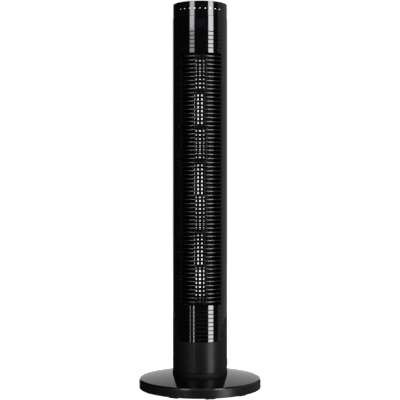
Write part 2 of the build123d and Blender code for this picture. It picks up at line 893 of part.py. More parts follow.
# ---- Motor --------------------------------------------------------------------------------------
with BuildPart() as motor_mounts:
    with BuildSketch(Plane.XY.offset(bell_top)):
        with PolarLocations(mount_radius, mount_count, start_angle=90):
            Circle(4.5)
            Circle(through_radius, mode=Mode.SUBTRACT)
    extrude(amount=mount_height)
save(motor_mounts, "motor_mounts")

with BuildPart() as stator_stack:
    with BuildSketch(Plane.XY.offset(stack_bottom)):
        Circle(motor_radius)
        Circle(motor_radius - yoke_width, mode=Mode.SUBTRACT)
        with PolarLocations((motor_radius + rotor_radius) / 2 - 1.5, 4, start_angle=45):
            Rectangle(motor_radius - rotor_radius - 3.0, 8)
        with BuildSketch(mode=Mode.ADD):
            Circle(rotor_radius + 3.2)
            with PolarLocations(rotor_radius, 4, start_angle=0):
                Rectangle(12, 3, mode=Mode.SUBTRACT)
        Circle(rotor_radius + air_gap, mode=Mode.SUBTRACT)
    extrude(amount=stack_height)
save(stator_stack, "stator_stack")

with BuildPart() as stator_windings:
    coil_inner = rotor_radius + 3.2 + fit_gap + 0.3
    coil_outer = motor_radius - yoke_width - 1.6
    with BuildSketch(Plane.XY.offset(stack_bottom - 4)):
        with PolarLocations((coil_inner + coil_outer) / 2, 4, start_angle=45):
            Rectangle(coil_outer - coil_inner, 14)
    extrude(amount=stack_height + 8)
    with BuildSketch(Plane.XY.offset(stack_bottom - 0.2)):
        with PolarLocations((coil_inner + coil_outer) / 2, 4, start_angle=45):
            Rectangle(coil_outer - coil_inner + 4, 8.4)
    extrude(amount=stack_height + 0.4, mode=Mode.SUBTRACT)
save(stator_windings, "stator_windings")


def motor_bell(open_level, closed_level):
    """A motor end cover: a cup with a bush seat in its closed end."""
    inward = bell_wall if closed_level < open_level else -bell_wall
    low, high = sorted((open_level, closed_level))
    cavity = sorted((closed_level + inward, open_level))
    with BuildPart() as bell:
        add(disc(motor_radius, 0, low, high))
        add(disc(motor_radius - bell_wall, bush_radius + 2, cavity[0], cavity[1]), mode=Mode.SUBTRACT)
        relief = sorted((open_level, open_level + (inward if closed_level > open_level else -inward) * 2))
        add(disc(motor_radius - bell_wall, 0, relief[0] - 0.5, relief[1] + 0.5), mode=Mode.SUBTRACT)
        add(disc(bush_radius, 0, low, high), mode=Mode.SUBTRACT)
    return bell.part


with BuildPart() as motor_upper_bell:
    add(motor_bell(stack_top, bell_top))
    with BuildSketch(Plane.XY.offset(bell_top)):
        with PolarLocations(mount_radius, mount_count, start_angle=90):
            Circle(pilot_radius)
    extrude(amount=-bell_wall, mode=Mode.SUBTRACT)
save(motor_upper_bell, "motor_upper_bell")

with BuildPart() as motor_lower_bell:
    add(motor_bell(stack_bottom, motor_bottom))
save(motor_lower_bell, "motor_lower_bell")

with BuildPart() as shaft_bushes:
    for bush_bottom in (motor_bottom, bell_top - bush_height, upper_bracket_top):
        add(disc(bush_radius - 0.02, shaft_radius + running_gap, bush_bottom, bush_bottom + bush_height))
save(shaft_bushes, "shaft_bushes")

# ---- Wheel, shaft and rotor ---------------------------------------------------------------------
hub_bottom = wheel_bottom - hub_thickness

with BuildPart() as motor_shaft:
    add(disc(shaft_radius, 0, motor_bottom - 4, wheel_bottom - fit_gap))
    chamfer(motor_shaft.edges().group_by(Axis.Z)[0], length=0.6)
save(motor_shaft, "motor_shaft")

with BuildPart() as motor_rotor:
    add(disc(rotor_radius, shaft_radius, stack_bottom + 0.5, stack_top - 0.5))
save(motor_rotor, "motor_rotor")

with BuildPart() as wheel_drive_hub:
    add(disc(wheel_radius, shaft_radius, hub_bottom, wheel_bottom))
    add(disc(hub_radius, shaft_radius, hub_bottom - 5, hub_bottom))
save(wheel_drive_hub, "wheel_drive_hub")

blade_outer = wheel_radius - 0.6
blade_inner = wheel_radius - blade_depth


def blade_points(shift):
    """Three points along one face of a forward-curved blade near the front of the wheel."""
    middle = (blade_inner + blade_outer) / 2
    return [
        polar(blade_inner, shift / blade_inner * 57.3),
        polar(middle, (shift - 0.5) / middle * 57.3),
        polar(blade_outer, (shift + 2.2) / blade_outer * 57.3),
    ]


with BuildSketch() as blade_section:
    with BuildLine():
        near_face = blade_points(0)
        far_face = blade_points(blade_thickness)
        ThreePointArc(*near_face)
        Line(near_face[2], far_face[2])
        ThreePointArc(*far_face)
        Line(far_face[0], near_face[0])
    make_face()

for segment in range(wheel_segments):
    segment_bottom = wheel_bottom + segment * segment_height
    half_step = 180 / blade_count if segment % 2 else 0
    with BuildPart() as wheel_segment:
        ring_inner = wheel_radius - blade_depth - 2
        add(disc(wheel_radius, ring_inner, segment_bottom, segment_bottom + disc_thickness))
        with BuildSketch(Plane.XY.offset(segment_bottom + disc_thickness)):
            with PolarLocations(0, blade_count, start_angle=wheel_phase + half_step):
                add(blade_section.sketch)
        extrude(amount=segment_height - disc_thickness)
    save(wheel_segment, f"wheel_segment_{segment + 1}")

with BuildPart() as wheel_top_hub:
    add(disc(wheel_radius, 0, wheel_top, wheel_top + 2.0))
    add(disc(shaft_radius, 0, wheel_top + 2.0, upper_bracket_top + bush_height + 0.5))
save(wheel_top_hub, "wheel_top_hub")

# ---- Swing drive and electrics ------------------------------------------------------------------
with BuildPart() as swing_pinion:
    meshed_angle = -90 + 180 / pinion_teeth
    pinion_levels = (gear_bottom + 0.2, gear_top - 0.2)
    pinion = spur_gear(pinion_teeth, swing_shaft_radius + 0.01, *pinion_levels, meshed_angle)
    add(Pos(0, gear_centre, 0) * pinion)
save(swing_pinion, "swing_pinion")

with BuildPart() as swing_motor_shaft:
    add(Pos(0, gear_centre, 0) * disc(swing_shaft_radius, 0, gear_bottom - 0.2, swing_plate_top + 6))
save(swing_motor_shaft, "swing_motor_shaft")

with BuildPart() as swing_bracket:
    add(disc(column_inner - 1.0, 0, swing_plate_bottom, swing_plate_top))
    add(gland_block(loose_gap, column_radius - gland_depth - loose_gap, column_radius), mode=Mode.SUBTRACT)
    with BuildSketch(Plane.XY.offset(swing_plate_bottom)):
        with Locations((0, gear_centre)):
            Circle(swing_shaft_radius + loose_gap)
        with Locations(*[polar(stand_radius, angle) for angle in stand_angles]):
            Circle(through_radius)
    extrude(amount=2.0, mode=Mode.SUBTRACT)
save(swing_bracket, "swing_bracket")

with BuildPart() as bracket_screws:
    stand_screw = upright_screw(swing_plate_top, swing_plate_bottom - 8, head_up=True)
    for angle in stand_angles:
        add(Pos(*polar(stand_radius, angle), 0) * stand_screw)
    motor_screw = upright_screw(bracket_top, bell_top - 5, head_up=True)
    for spot in PolarLocations(mount_radius, mount_count, start_angle=90):
        add(spot * motor_screw)
    board_screw = upright_screw(board_bottom - screw_head_height, board_top + 6)
    for spot in board_posts:
        add(Pos(*spot, 0) * board_screw)
save(bracket_screws, "bracket_screws")

with BuildPart() as swing_motor:
    with BuildSketch(Plane.XY.offset(swing_plate_top)):
        with Locations((0, swing_motor_y)):
            Circle(swing_motor_radius)
            Rectangle(2 * swing_motor_radius + 7, 7)
    extrude(amount=1.0)
    with BuildSketch(Plane.XY.offset(swing_plate_top + 1.0)):
        with Locations((0, swing_motor_y)):
            Circle(swing_motor_radius)
    extrude(amount=swing_motor_height - 1.0)
    with BuildSketch(Plane.XY.offset(swing_plate_top)):
        with Locations((0, gear_centre)):
            Circle(swing_shaft_radius + running_gap)
    extrude(amount=7, mode=Mode.SUBTRACT)
save(swing_motor, "swing_motor")

with BuildPart() as motor_capacitor:
    with BuildSketch(Plane.XY.offset(swing_plate_top)):
        with Locations((-10, -(column_inner - 23.5))):
            RectangleRounded(32, 16, 2)
    extrude(amount=24)
    fillet(motor_capacitor.edges().group_by(Axis.Z)[-1], radius=1.5)
save(motor_capacitor, "motor_capacitor")

with BuildPart() as terminal_block:
    with BuildSketch(Plane.XY.offset(swing_plate_top)):
        with Locations((column_inner - 27, -4)):
            Rectangle(24, 14)
    extrude(amount=11)
    with BuildSketch(Plane.XY.offset(swing_plate_top + 11)):
        with Locations((column_inner - 27, -4)):
            with GridLocations(7, 1, 3, 1):
                Circle(2.0)
    extrude(amount=-4, mode=Mode.SUBTRACT)
save(terminal_block, "terminal_block")

connector_size = (8.0, 10.0, 12.0)
with BuildPart() as wire_harness:
    connector_middle = 13.0
    harness_end = polar(connector_middle + connector_size[0] / 2 + fit_gap, harness_angle)
    lower_end = (*harness_spot, housing_top - 20)
    bend_height = board_bottom - 9
    with BuildLine() as harness_path:
        FilletPolyline(lower_end, (*harness_spot, bend_height), (*harness_end, bend_height), radius=8)
    with BuildSketch(Plane(origin=lower_end, z_dir=(0, 0, 1))):
        Circle(harness_radius)
    sweep(path=harness_path.wire())
    with BuildSketch(Plane.XY.offset(board_bottom)):
        with Locations(Location((*polar(connector_middle, harness_angle), 0), (0, 0, harness_angle + 90))):
            Rectangle(connector_size[0], connector_size[1])
    extrude(amount=-connector_size[2])
save(wire_harness, "wire_harness")

print("overall height", round(overall_height, 2), "gear module", round(gear_module, 4))
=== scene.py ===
import json
import math

import bmesh
import bpy
from mathutils import Matrix, Vector


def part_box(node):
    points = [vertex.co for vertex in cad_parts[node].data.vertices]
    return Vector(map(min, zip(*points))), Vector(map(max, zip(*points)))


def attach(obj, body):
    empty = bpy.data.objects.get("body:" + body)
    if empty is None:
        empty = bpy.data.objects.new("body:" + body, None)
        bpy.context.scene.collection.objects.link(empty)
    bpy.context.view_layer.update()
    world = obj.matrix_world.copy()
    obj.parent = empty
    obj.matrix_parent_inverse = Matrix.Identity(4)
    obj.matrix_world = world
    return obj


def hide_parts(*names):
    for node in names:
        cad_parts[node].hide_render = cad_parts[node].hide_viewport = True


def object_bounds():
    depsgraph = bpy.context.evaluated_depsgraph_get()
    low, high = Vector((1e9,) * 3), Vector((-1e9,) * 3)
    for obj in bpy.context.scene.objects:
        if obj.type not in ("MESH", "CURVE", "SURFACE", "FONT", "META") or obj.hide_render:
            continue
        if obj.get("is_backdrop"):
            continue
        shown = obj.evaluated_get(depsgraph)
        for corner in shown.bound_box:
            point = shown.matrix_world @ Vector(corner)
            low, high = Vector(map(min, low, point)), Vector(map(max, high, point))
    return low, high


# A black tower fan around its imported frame. Angles around the column are in degrees, counted from the
# front (-Y) towards +X. Every length is in metres, so sizes are written as millimetres times MM.

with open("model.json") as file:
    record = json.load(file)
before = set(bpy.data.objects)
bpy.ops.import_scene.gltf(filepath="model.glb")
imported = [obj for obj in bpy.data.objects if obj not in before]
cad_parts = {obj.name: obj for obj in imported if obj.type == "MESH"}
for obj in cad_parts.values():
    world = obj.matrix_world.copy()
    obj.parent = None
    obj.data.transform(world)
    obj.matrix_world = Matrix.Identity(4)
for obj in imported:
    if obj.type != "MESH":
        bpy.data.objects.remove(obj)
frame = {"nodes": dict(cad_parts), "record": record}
cad_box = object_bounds()

MM = 0.001


def low(node, axis):
    """The lowest coordinate of a CAD node along an axis (0 is X, 1 is Y, 2 is Z)."""
    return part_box(node)[0][axis]


def high(node, axis):
    """The highest coordinate of a CAD node along an axis."""
    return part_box(node)[1][axis]


# ---- Sizes and levels ---------------------------------------------------------------------------
SEAM = 0.4 * MM
FIT_GAP = 0.1 * MM
CLOSE = 0.01 * MM
WALL = 2.5 * MM
COLUMN_RADIUS = high("lower_housing", 0)
COLUMN_INNER = COLUMN_RADIUS - WALL
HOUSING_BOTTOM = low("lower_housing", 2)
HOUSING_TOP = low("rear_shell", 2) - SEAM
LIP_RADIUS = COLUMN_INNER - 0.3 * MM
LIP_TOP = high("lower_housing", 2)
FLOOR_THICKNESS = 3.5 * MM
FLOOR_BORE = 17.1 * MM
GLAND_ANGLE = 105.0
GLAND_HALF_ANGLE = 5.45
PANEL_BOTTOM = low("outlet_grille", 2)
PANEL_HALF_WIDTH = 41.4 * MM
FLARE_BOTTOM = HOUSING_TOP + 4 * MM
FLARE_HEIGHT = 50 * MM
FLARE_BLEND = 18 * MM
SHELL_TOP = high("front_panel", 2)
HEAD_BOTTOM = low("rear_head_shell", 2)
REAR_TOP = high("rear_shell", 2)
INTAKE_BOTTOM = low("intake_grille", 2)
INTAKE_TOP = high("intake_grille", 2)

RIB_PITCH = 7.948 * MM
RIB_THICKNESS = 2.4 * MM
RIB_DEPTH = 3.5 * MM
LOWEST_RIB = HOUSING_TOP - 1.5 * MM
CLOSED_BELOW = 8
OPEN_SLOTS = 62
CLOSED_ABOVE = 5
TOP_RIB = CLOSED_BELOW + OPEN_SLOTS + CLOSED_ABOVE
GROOVE_WIDTH = 1.9 * MM
GROOVE_DEPTH = 0.8 * MM
SLOT_END = 50.0
RAIL_END = 51.8
RAIL_STEP = 0.4 * MM
INTAKE_SLOT = 4.0 * MM
INTAKE_SLOT_END = 34.0
INTAKE_END = 35.8
INTAKE_BAR_ANGLE = 20.0
INTAKE_BAR_HALF = 1.2
GRID_STEP = 1.5
WINDOW_HALF_WIDTH = 12.0 * MM

BOSS_LEVELS = (10, 30, 50, 73)
BOSS_X = COLUMN_INNER - 5.5 * MM
BOSS_RADIUS = 4.0 * MM
BOSS_HALF_TALL = 5.0 * MM
SCREW_SEAT = 16.0 * MM
HEAD_HOLE = 2.9 * MM

CAP_RADIUS = high("top_cap", 0)
CAP_TOP = high("top_cap", 2)
CAP_BOTTOM = SHELL_TOP + SEAM
CONTROL_TOP = high("control_panel", 2)
CONTROL_BOTTOM = CONTROL_TOP - 3.0 * MM
CONTROL_RADIUS = high("control_panel", 0)

KEYS = ("power", "speed", "swing", "timer", "mode")
KEY_HOLE = 6.6 * MM
KEY_RADIUS = 6.3 * MM
KEY_FLANGE = 8.0 * MM
KEY_STEM = 2.0 * MM
KEY_DISH = 0.35 * MM


def rib_level(index):
    """The height of the middle of a rib, counted from the lowest."""
    return LOWEST_RIB + index * RIB_PITCH


OPEN_BOTTOM = rib_level(CLOSED_BELOW)
OPEN_TOP = rib_level(CLOSED_BELOW + OPEN_SLOTS)

# ---- Camera, world and light --------------------------------------------------------------------
# Metres, degrees and radiance here, not millimetres.
EYE_HEIGHT = 0.399
EYE_DISTANCE = 2.050
FOCAL_MM = 92.9
FRAME_DROP = -13 / 400


def make_camera():
    """Level camera in front of the fan, with the frame shifted down a little."""
    data = bpy.data.cameras.new("camera")
    data.lens = FOCAL_MM
    data.sensor_width = 36.0
    data.shift_y = FRAME_DROP
    camera = bpy.data.objects.new("camera", data)
    camera.location = (0, -EYE_DISTANCE, EYE_HEIGHT)
    camera.rotation_euler = (math.radians(90), 0, 0)
    bpy.context.scene.collection.objects.link(camera)
    bpy.context.scene.camera = camera


def make_world():
    """White behind the object for the eye, a dim studio for everything it reflects."""
    world = bpy.data.worlds.new("studio")
    world.use_nodes = True
    tree = world.node_tree
    tree.nodes.clear()
    out = tree.nodes.new("ShaderNodeOutputWorld")
    mix = tree.nodes.new("ShaderNodeMixShader")
    path = tree.nodes.new("ShaderNodeLightPath")
    dim = tree.nodes.new("ShaderNodeBackground")
    white = tree.nodes.new("ShaderNodeBackground")
    dim.inputs["Color"].default_value = (0.9, 0.93, 1.0, 1)
    dim.inputs["Strength"].default_value = 0.012
    white.inputs["Color"].default_value = (1, 1, 1, 1)
    white.inputs["Strength"].default_value = 1.0
    tree.links.new(path.outputs["Is Camera Ray"], mix.inputs["Fac"])
    tree.links.new(dim.outputs[0], mix.inputs[1])
    tree.links.new(white.outputs[0], mix.inputs[2])
    tree.links.new(mix.outputs[0], out.inputs["Surface"])
    bpy.context.scene.world = world
    bpy.context.scene.view_settings.view_transform = "Standard"


def area_light(name, location, aim, width, tall, radiance):
    """A soft box that only lights and reflects, facing a point."""
    data = bpy.data.lights.new(name, "AREA")
    data.shape = "RECTANGLE"
    data.size = width
    data.size_y = tall
    data.energy = radiance * math.pi * width * tall
    light = bpy.data.objects.new(name, data)
    light.location = location
    light.rotation_euler = (Vector(aim) - light.location).to_track_quat("-Z", "Y").to_euler()
    light.visible_camera = False
    bpy.context.scene.collection.objects.link(light)


def panel_light(name, azimuth, distance, width, bottom, top, radiance):
    """A soft box standing upright around the object; azimuth 0 is the front, 90 the right."""
    middle = (bottom + top) / 2
    area_light(name, around(distance, azimuth, middle), (0, 0, middle), width, top - bottom, radiance)


def make_lights():
    """Two strips in front, a soft wall on the right, a card behind and a soft box overhead."""
    front, side, back = 1.5, 2.2, 2.6
    strip_foot, strip_waist, strip_top = 0.12, 0.93, 2.2
    panel_light("strip_left", -33.2, front, 0.50, strip_waist, strip_top, 10.5)
    panel_light("strip_left_middle", -33.2, front, 0.50, strip_foot, strip_waist, 5.5)
    panel_light("strip_left_foot_outer", -41.0, front, 0.06, -0.6, strip_foot, 5.0)
    panel_light("strip_left_foot_inner", -25.5, front, 0.10, -0.6, strip_foot, 9.0)
    panel_light("strip_right", 45.7, front, 0.56, -0.6, strip_top, 15.0)
    panel_light("wall_right", 112, side, 2.6, -1.0, 2.6, 0.33)
    panel_light("card_behind", 180, back, 2.4, -0.8, 2.2, 0.66)
    area_light("overhead", (0, -0.4, 2.6), (0, -0.4, 0), 2.4, 2.4, 0.6)


def make_floor():
    """A plain pale floor, bright enough to read as white."""
    mesh = bpy.data.meshes.new("floor")
    size = 6.0
    corners = [(-size, -size, 0), (size, -size, 0), (size, size, 0), (-size, size, 0)]
    mesh.from_pydata(corners, [], [(0, 1, 2, 3)])
    floor = bpy.data.objects.new("floor", mesh)
    bpy.context.scene.collection.objects.link(floor)
    material = bpy.data.materials.new("floor_pale")
    material.use_nodes = True
    shader = material.node_tree.nodes["Principled BSDF"]
    shader.inputs["Base Color"].default_value = (0.8, 0.8, 0.8, 1)
    shader.inputs["Roughness"].default_value = 0.9
    shader.inputs["Emission Color"].default_value = (1, 1, 1, 1)
    shader.inputs["Emission Strength"].default_value = 1.0
    mesh.materials.append(material)
    floor.visible_glossy = False
    floor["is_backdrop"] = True


# ---- Materials ----------------------------------------------------------------------------------
def surface(name, colour, rough, tint=0.12, patch=45, grain=1400, relief=0.0, peel=0.0,
            metal=0.0, brush=None, speck=0.0, shine=0.5, coat=0.0, coat_rough=0.2):
    """Moulded plastic, rubber or metal: colour drift, uneven gloss, grain and a slight waviness.

    tint is the colour drift, patch its frequency per metre, grain the frequency of the fine relief,
    relief and peel the heights of the fine grain and of the waviness, brush the stretch of brushed
    lines along each axis, speck how much the fine grain changes the gloss, shine the strength of the
    reflection, and coat the weight of a thin, clearer skin over a satin body."""
    material = bpy.data.materials.new(name)
    material.use_nodes = True
    tree = material.node_tree
    shader = tree.nodes["Principled BSDF"]
    shader.inputs["Metallic"].default_value = metal
    shader.inputs["Specular IOR Level"].default_value = shine
    shader.inputs["Coat Weight"].default_value = coat
    shader.inputs["Coat Roughness"].default_value = coat_rough
    place = tree.nodes.new("ShaderNodeTexCoord").outputs["Object"]
    if brush:
        stretch = tree.nodes.new("ShaderNodeMapping")
        stretch.inputs["Scale"].default_value = brush
        tree.links.new(place, stretch.inputs["Vector"])
        place = stretch.outputs["Vector"]

    def noise(scale, detail):
        node = tree.nodes.new("ShaderNodeTexNoise")
        node.inputs["Scale"].default_value = scale
        node.inputs["Detail"].default_value = detail
        tree.links.new(place, node.inputs["Vector"])
        return node.outputs["Fac"]

    def spread(value, bottom, top):
        node = tree.nodes.new("ShaderNodeMapRange")
        node.inputs["From Min"].default_value = 0.3
        node.inputs["From Max"].default_value = 0.7
        node.inputs["To Min"].default_value = bottom
        node.inputs["To Max"].default_value = top
        tree.links.new(value, node.inputs["Value"])
        return node.outputs["Result"]

    drift = noise(patch, 3)
    ramp = tree.nodes.new("ShaderNodeValToRGB")
    ramp.color_ramp.elements[0].position = 0.3
    ramp.color_ramp.elements[1].position = 0.7
    ramp.color_ramp.elements[0].color = (*[c * (1 - tint) for c in colour], 1)
    ramp.color_ramp.elements[1].color = (*[c * (1 + tint) for c in colour], 1)
    tree.links.new(drift, ramp.inputs["Fac"])
    tree.links.new(ramp.outputs["Color"], shader.inputs["Base Color"])

    fine = noise(grain, 4)
    uneven = spread(noise(patch * 1.7, 5), rough * 0.88, rough * 1.12)
    if speck:
        total = tree.nodes.new("ShaderNodeMath")
        tree.links.new(uneven, total.inputs[0])
        tree.links.new(spread(fine, -speck, speck), total.inputs[1])
        uneven = total.outputs[0]
    tree.links.new(uneven, shader.inputs["Roughness"])

    normal = None
    for height, field in ((peel, noise(patch * 2, 1)), (relief, fine)):
        if height:
            bump = tree.nodes.new("ShaderNodeBump")
            bump.inputs["Strength"].default_value = 1.0
            bump.inputs["Distance"].default_value = height
            tree.links.new(field, bump.inputs["Height"])
            if normal:
                tree.links.new(normal, bump.inputs["Normal"])
            normal = bump.outputs["Normal"]
    if normal:
        tree.links.new(normal, shader.inputs["Normal"])
    return material


def smoked_acrylic(name):
    """Dark smoked pane that lets a little light through."""
    material = surface(name, (0.0022, 0.0023, 0.0032), 0.04, tint=0.2, patch=30, peel=0.4e-6)
    shader = material.node_tree.nodes["Principled BSDF"]
    shader.inputs["Transmission Weight"].default_value = 0.25
    shader.inputs["IOR"].default_value = 1.49
    return material


def board_laminate(name):
    """Green solder mask with small patches of drifting colour."""
    return surface(name, (0.012, 0.10, 0.045), 0.32, tint=0.25, patch=260, relief=6e-6)


BLACK = (0.0008, 0.0008, 0.0010)
SATIN_BLACK = (0.0022, 0.0022, 0.0025)
INNER_BLACK = (0.0016, 0.0016, 0.0018)
SATIN = dict(relief=4e-6, speck=0.03, shine=0.11, coat=0.05, coat_rough=0.2)
LOOKS = {
    "base_gloss": surface("base_gloss", (0.0010, 0.0010, 0.0012), 0.05, peel=0.5e-6),
    "base_under": surface("base_under", (0.008, 0.008, 0.0085), 0.5, relief=12e-6, speck=0.04),
    "collar": surface("collar", BLACK, 0.6, relief=6e-6, shine=0.12),
    "housing_satin": surface("housing_satin", (0.0022, 0.0022, 0.0024), 0.45, **SATIN),
    "shell_satin": surface("shell_satin", SATIN_BLACK, 0.42, **SATIN),
    "panel_gloss": surface("panel_gloss", BLACK, 0.055, peel=0.6e-6),
    "cap_gloss": surface("cap_gloss", (0.0010, 0.0010, 0.0013), 0.075, peel=0.6e-6),
    "window_smoked": smoked_acrylic("window_smoked"),
    "key_satin": surface("key_satin", (0.016, 0.016, 0.018), 0.34, relief=3e-6, speck=0.03),
    "wheel_plastic": surface("wheel_plastic", INNER_BLACK, 0.5, relief=5e-6, speck=0.03, shine=0.08),
    "inner_black": surface("inner_black", INNER_BLACK, 0.6, relief=8e-6, speck=0.04, shine=0.08),
    "acetal": surface("acetal", (0.74, 0.72, 0.66), 0.36, tint=0.04, relief=3e-6),
    "rubber": surface("rubber", (0.010, 0.010, 0.0105), 0.62, relief=14e-6, speck=0.05, grain=900),
    "steel": surface("steel", (0.56, 0.57, 0.58), 0.30, tint=0.06, metal=1.0, brush=(1, 1, 9), speck=0.05),
    "spring_steel": surface("spring_steel", (0.20, 0.20, 0.21), 0.34, tint=0.08, metal=1.0, speck=0.05),
    "screw_steel": surface("screw_steel", (0.60, 0.61, 0.62), 0.24, tint=0.06, metal=1.0, speck=0.05),
    "lamination": surface("lamination", (0.34, 0.34, 0.35), 0.42, tint=0.08, metal=1.0, brush=(1, 1, 40),
                          grain=300, relief=20e-6),
    "copper": surface("copper", (0.62, 0.26, 0.11), 0.26, tint=0.1, metal=1.0, brush=(1, 1, 14),
                      grain=240, relief=60e-6),
    "cast_alloy": surface("cast_alloy", (0.58, 0.59, 0.60), 0.44, tint=0.05, metal=1.0, relief=20e-6),
    "bronze": surface("bronze", (0.55, 0.34, 0.16), 0.38, tint=0.08, metal=1.0, relief=12e-6),
    "circuit_board": board_laminate("circuit_board"),
    "switch_body": surface("switch_body", (0.02, 0.02, 0.022), 0.42, relief=6e-6, speck=0.03),
    "wire_sleeve": surface("wire_sleeve", (0.03, 0.03, 0.034), 0.48, relief=20e-6, grain=700),
}
RIM_SATIN = surface("rim_satin", SATIN_BLACK, 0.42, **SATIN)
RIB_GLOSS = surface("rib_gloss", BLACK, 0.26, peel=0.8e-6, speck=0.02)
SILVER = surface("silver_print", (0.60, 0.61, 0.63), 0.4, tint=0.05, metal=0.3, speck=0.04)
INK = surface("icon_ink", (0.55, 0.56, 0.57), 0.5, tint=0.05, relief=2e-6)


# ---- Mesh tools ---------------------------------------------------------------------------------
def around(radius, degrees, height):
    """A point at a radius and an angle around the column."""
    turn = math.radians(degrees)
    return Vector((radius * math.sin(turn), -radius * math.cos(turn), height))


def divided(stops, step):
    """The sorted stops, with every interval split evenly into parts no longer than step."""
    stops = sorted(set(stops))
    values = [stops[0]]
    for start, end in zip(stops, stops[1:]):
        parts = max(1, math.ceil((end - start) / step - 1e-9))
        values += [start + (end - start) * (part + 1) / parts for part in range(parts)]
    return values


def rounded(points, radius, steps=4):
    """A closed outline with each corner turned into an arc; a point may carry its own radius."""
    outline = []
    for place, point in enumerate(points):
        here = Vector(point[:2])
        before = Vector(points[place - 1][:2]) - here
        after = Vector(points[(place + 1) % len(points)][:2]) - here
        bend = point[2] if len(point) > 2 else radius
        corner = before.angle(after)
        if bend <= 0 or corner > math.radians(175):
            outline.append(here)
            continue
        reach = min(bend / math.tan(corner / 2), before.length * 0.45, after.length * 0.45)
        bend = reach * math.tan(corner / 2)
        back, on = before.normalized(), after.normalized()
        middle = here + (back + on).normalized() * bend / math.sin(corner / 2)
        start = here + back * reach - middle
        turn = math.pi - corner
        side = 1 if start.cross(here + on * reach - middle) > 0 else -1
        for part in range(steps + 1):
            angle = side * turn * part / steps
            outline.append(middle + Matrix.Rotation(angle, 2) @ start)
    return outline


def arc_through(start, middle, end, steps):
    """Points on the circle through three points, without the two ends."""
    a, b, c = Vector(start), Vector(middle), Vector(end)
    twice_area = 2 * (a.x * (b.y - c.y) + b.x * (c.y - a.y) + c.x * (a.y - b.y))
    squares = (a.length_squared, b.length_squared, c.length_squared)
    across = squares[0] * (b.y - c.y) + squares[1] * (c.y - a.y) + squares[2] * (a.y - b.y)
    along = squares[0] * (c.x - b.x) + squares[1] * (a.x - c.x) + squares[2] * (b.x - a.x)
    centre = Vector((across, along)) / twice_area
    swing = (a - centre).angle_signed(c - centre)
    return [centre + Matrix.Rotation(-swing * part / steps, 2) @ (a - centre) for part in range(1, steps)]


def swept(outline, start=0.0, end=360.0, step=1.875, into=None):
    """The closed (radius, height) outline swept around the Z axis, with flat ends if it stops short."""
    bm = into or bmesh.new()
    whole = end - start >= 360
    count = max(1, round((end - start) / step))
    rings = []
    for place in range(count if whole else count + 1):
        angle = start + (end - start) * place / count
        rings.append([bm.verts.new(around(point[0], angle, point[1])) for point in outline])
    size = len(outline)
    for place in range(count):
        here, following = rings[place], rings[(place + 1) % len(rings)]
        for spot in range(size):
            beside = (spot + 1) % size
            bm.faces.new((here[spot], following[spot], following[beside], here[beside]))
    if not whole:
        bm.faces.new(rings[0])
        bm.faces.new(rings[-1][::-1])
    return bm


def relief_sheet(angles, levels, inner, outer):
    """A curved wall on a grid of angles and levels.

    outer(angle, level) gives the outer radius of the cell around that point, or None for a hole."""
    columns, rows = len(angles) - 1, len(levels) - 1
    whole = angles[-1] - angles[0] >= 360 - 1e-6
    cells = {}
    for i in range(columns):
        for j in range(rows):
            cells[i, j] = outer((angles[i] + angles[i + 1]) / 2, (levels[j] + levels[j + 1]) / 2)
    bm = bmesh.new()
    made = {}

    def wrap(i):
        return i % columns if whole else i

    def corner(i, j, radius):
        key = (wrap(i), j, round(radius, 7))
        if key not in made:
            made[key] = bm.verts.new(around(radius, angles[key[0]], levels[j]))
        return made[key]

    def radii(i, j, bottom, top):
        found = {inner}
        for beside in ((wrap(i - 1), j - 1), (wrap(i), j - 1), (wrap(i - 1), j), (wrap(i), j)):
            if cells.get(beside) is not None:
                found.add(cells[beside])
        return sorted(r for r in found if bottom - 1e-9 <= r <= top + 1e-9)

    for (i, j), radius in cells.items():
        if radius is None:
            continue
        loop = ((i, j), (i + 1, j), (i + 1, j + 1), (i, j + 1))
        bm.faces.new([corner(*spot, radius) for spot in loop])
        bm.faces.new([corner(*spot, inner) for spot in loop[::-1]])
        beside = ((i, j - 1), (i + 1, j), (i, j + 1), (i - 1, j))
        for place, (ni, nj) in enumerate(beside):
            other = cells.get((wrap(ni), nj))
            floor = inner if other is None else other
            if floor < radius - 1e-9:
                first, second = loop[place], loop[(place + 1) % 4]
                rise = [corner(*second, r) for r in radii(*second, floor, radius)]
                fall = [corner(*first, r) for r in radii(*first, floor, radius)[::-1]]
                bm.faces.new(rise + fall)
    return bm


def prism(outline, start, end):
    """A closed (x, z) outline pushed along Y from start to end."""
    bm = bmesh.new()
    front = [bm.verts.new((x, start, z)) for x, z in outline]
    back = [bm.verts.new((x, end, z)) for x, z in outline]
    size = len(outline)
    for spot in range(size):
        beside = (spot + 1) % size
        bm.faces.new((front[spot], front[beside], back[beside], back[spot]))
    bm.faces.new(front[::-1])
    bm.faces.new(back)
    return bm


def rod(radius, start, end, steps=32):
    """A round bar between two points."""
    bm = bmesh.new()
    start, end = Vector(start), Vector(end)
    turn = (end - start).to_track_quat("Z", "Y").to_matrix().to_4x4()
    place = Matrix.Translation((start + end) / 2) @ turn
    length = (end - start).length
    bmesh.ops.create_cone(bm, cap_ends=True, segments=steps, radius1=radius, radius2=radius,
                          depth=length, matrix=place)
    return bm


def loose_object(bm, name="scratch"):
    """A plain mesh object from a bmesh, with its faces turned outwards."""
    bmesh.ops.recalc_face_normals(bm, faces=bm.faces)
    mesh = bpy.data.meshes.new(name)
    bm.to_mesh(mesh)
    bm.free()
    thing = bpy.data.objects.new(name, mesh)
    bpy.context.scene.collection.objects.link(thing)
    return thing


def bake(thing):
    """Apply an object's modifiers to its mesh."""
    graph = bpy.context.evaluated_depsgraph_get()
    mesh = bpy.data.meshes.new_from_object(thing.evaluated_get(graph))
    old = thing.data
    thing.modifiers.clear()
    thing.data = mesh
    bpy.data.meshes.remove(old)


